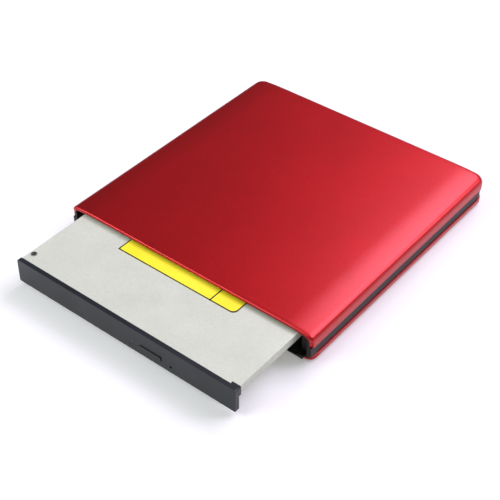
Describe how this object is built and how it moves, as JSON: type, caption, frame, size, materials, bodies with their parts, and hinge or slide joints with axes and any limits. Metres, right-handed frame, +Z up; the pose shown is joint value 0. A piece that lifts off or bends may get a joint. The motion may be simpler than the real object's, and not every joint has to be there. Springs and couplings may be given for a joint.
{
  "type": "external optical drive",
  "caption": "Slim tray-loading optical drive part-way out of a flat red two-shell case with a black middle frame, with a folded steel lid, dark bezel and a sprung spindle hub.",
  "frame": {"origin": "centre of the bounding box at the height of the surface that the feet stand on", "axes": "+X across the case, +Y from the bezel to the sockets at the back, +Z up"},
  "size_m": [0.143, 0.1898, 0.0172],
  "materials": {
    "pearl_red_paint": "pearl red lacquer on moulded plastic",
    "black_abs": "fine-textured black ABS",
    "bezel_abs": "satin dark grey ABS",
    "plated_steel": "zinc-plated steel sheet",
    "label_film": "printed polyester film, blank",
    "soft_rubber": "black rubber",
    "circuit_board": "glass-fibre board with green solder mask",
    "chip_epoxy": "black moulding compound",
    "connector_resin": "black glass-filled resin",
    "tin_shell": "tin-plated steel",
    "screw_steel": "nickel-plated steel",
    "ground_steel": "ground bright steel",
    "motor_steel": "drawn steel can",
    "copper_coils": "enamelled copper on laminations",
    "bearing_brass": "turned brass",
    "hub_resin": "acetal resin",
    "sled_casting": "die-cast grey body",
    "clear_lens": "moulded clear lens",
    "flex_film": "polyimide flat cable"
  },
  "bodies": {
    "case": {"top_shell": "pearl_red_paint", "bottom_shell": "pearl_red_paint", "middle_frame": "black_abs", "case_screws": "screw_steel", "rubber_feet": "soft_rubber", "board_screws": "screw_steel", "adapter_board": "circuit_board", "bridge_chip": "chip_epoxy", "board_capacitors": "tin_shell", "crystal_can": "tin_shell", "status_lamp": "clear_lens", "usb_socket": "tin_shell", "usb_tongue": "connector_resin", "power_socket": "connector_resin", "power_pin": "screw_steel", "sata_receptacle": "connector_resin"},
    "drive": {"chassis_pan": "plated_steel", "top_cover": "plated_steel", "cover_screws": "screw_steel", "blank_label": "label_film", "drive_board": "circuit_board", "drive_chips": "chip_epoxy", "flex_socket": "connector_resin", "flex_cable": "flex_film", "drive_plug": "connector_resin", "rail_guide": "black_abs", "latch_pin": "screw_steel", "kick_spring": "ground_steel"},
    "runners": {"left_runner": "plated_steel", "right_runner": "plated_steel"},
    "tray": {"tray_frame": "black_abs", "bezel": "bezel_abs", "button_board": "circuit_board", "eject_switch": "chip_epoxy", "activity_lamp": "clear_lens", "mech_shield": "plated_steel", "shield_screws": "screw_steel", "latch_magnet": "motor_steel", "mech_plate": "plated_steel", "mech_cover": "plated_steel", "guide_rods": "ground_steel", "rubber_dampers": "soft_rubber", "damper_screws": "screw_steel", "feed_motor": "motor_steel", "bearing_sleeve": "bearing_brass", "stator_coils": "copper_coils"},
    "button": {"eject_button": "bezel_abs"},
    "latch": {"latch_lever": "hub_resin"},
    "feed_screw": {"lead_screw": "ground_steel"},
    "sled": {"pickup_sled": "sled_casting"},
    "lens": {"lens_holder": "hub_resin", "objective_lens": "clear_lens"},
    "spindle": {"spindle_shaft": "ground_steel", "turntable": "motor_steel", "disc_pad": "soft_rubber", "disc_hub": "hub_resin"},
    "jaw_1": {"hub_jaw_1": "hub_resin"},
    "jaw_2": {"hub_jaw_2": "hub_resin"},
    "jaw_3": {"hub_jaw_3": "hub_resin"}
  },
  "joints": [
    {"name": "drive_slide", "type": "slide", "parent": "case", "child": "drive", "axis": [0, -1, 0], "range_m": [-0.0387, 0.08]},
    {"name": "tray_slide", "type": "slide", "parent": "drive", "child": "tray", "axis": [0, -1, 0], "range_m": [0, 0.118]},
    {"name": "runner_slide", "type": "slide", "parent": "drive", "child": "runners", "axis": [0, -1, 0], "range_m": [0, 0.059]},
    {"name": "eject_press", "type": "slide", "parent": "tray", "child": "button", "axis": [0, 1, 0], "range_m": [0, 0.0006], "stiffness_N_per_m": 400},
    {"name": "latch_turn", "type": "hinge", "parent": "tray", "child": "latch", "pos_m": [0.044, -0.06855, 0.0067], "axis": [0, 0, -1], "range_deg": [0, 5]},
    {"name": "spindle_spin", "type": "hinge", "parent": "tray", "child": "spindle", "pos_m": [0, -0.02905, 0.0103], "axis": [0, 0, 1], "continuous": true},
    {"name": "sled_slide", "type": "slide", "parent": "tray", "child": "sled", "axis": [-0.7071, -0.7071, 0], "range_m": [0, 0.03]},
    {"name": "feed_turn", "type": "hinge", "parent": "tray", "child": "feed_screw", "pos_m": [-0.00735, -0.06412, 0.0067], "axis": [-0.7071, -0.7071, 0], "range_deg": [0, 3601]},
    {"name": "lens_focus", "type": "slide", "parent": "sled", "child": "lens", "axis": [0, 0, 1], "range_m": [-0.0003, 0.0003], "stiffness_N_per_m": 30},
    {"name": "jaw_1_press", "type": "slide", "parent": "spindle", "child": "jaw_1", "axis": [-0.7071, 0.7071, 0], "range_m": [0, 0.0004], "stiffness_N_per_m": 800},
    {"name": "jaw_2_press", "type": "slide", "parent": "spindle", "child": "jaw_2", "axis": [-0.2588, -0.9659, 0], "range_m": [0, 0.0004], "stiffness_N_per_m": 800},
    {"name": "jaw_3_press", "type": "slide", "parent": "spindle", "child": "jaw_3", "axis": [0.9659, 0.2588, 0], "range_m": [0, 0.0004], "stiffness_N_per_m": 800}
  ],
  "couplings": [
    {"joint": "runner_slide", "follows": "tray_slide", "ratio": 0.5},
    {"joint": "feed_turn", "follows": "sled_slide", "rad_per_m": 2094.4}
  ]
}
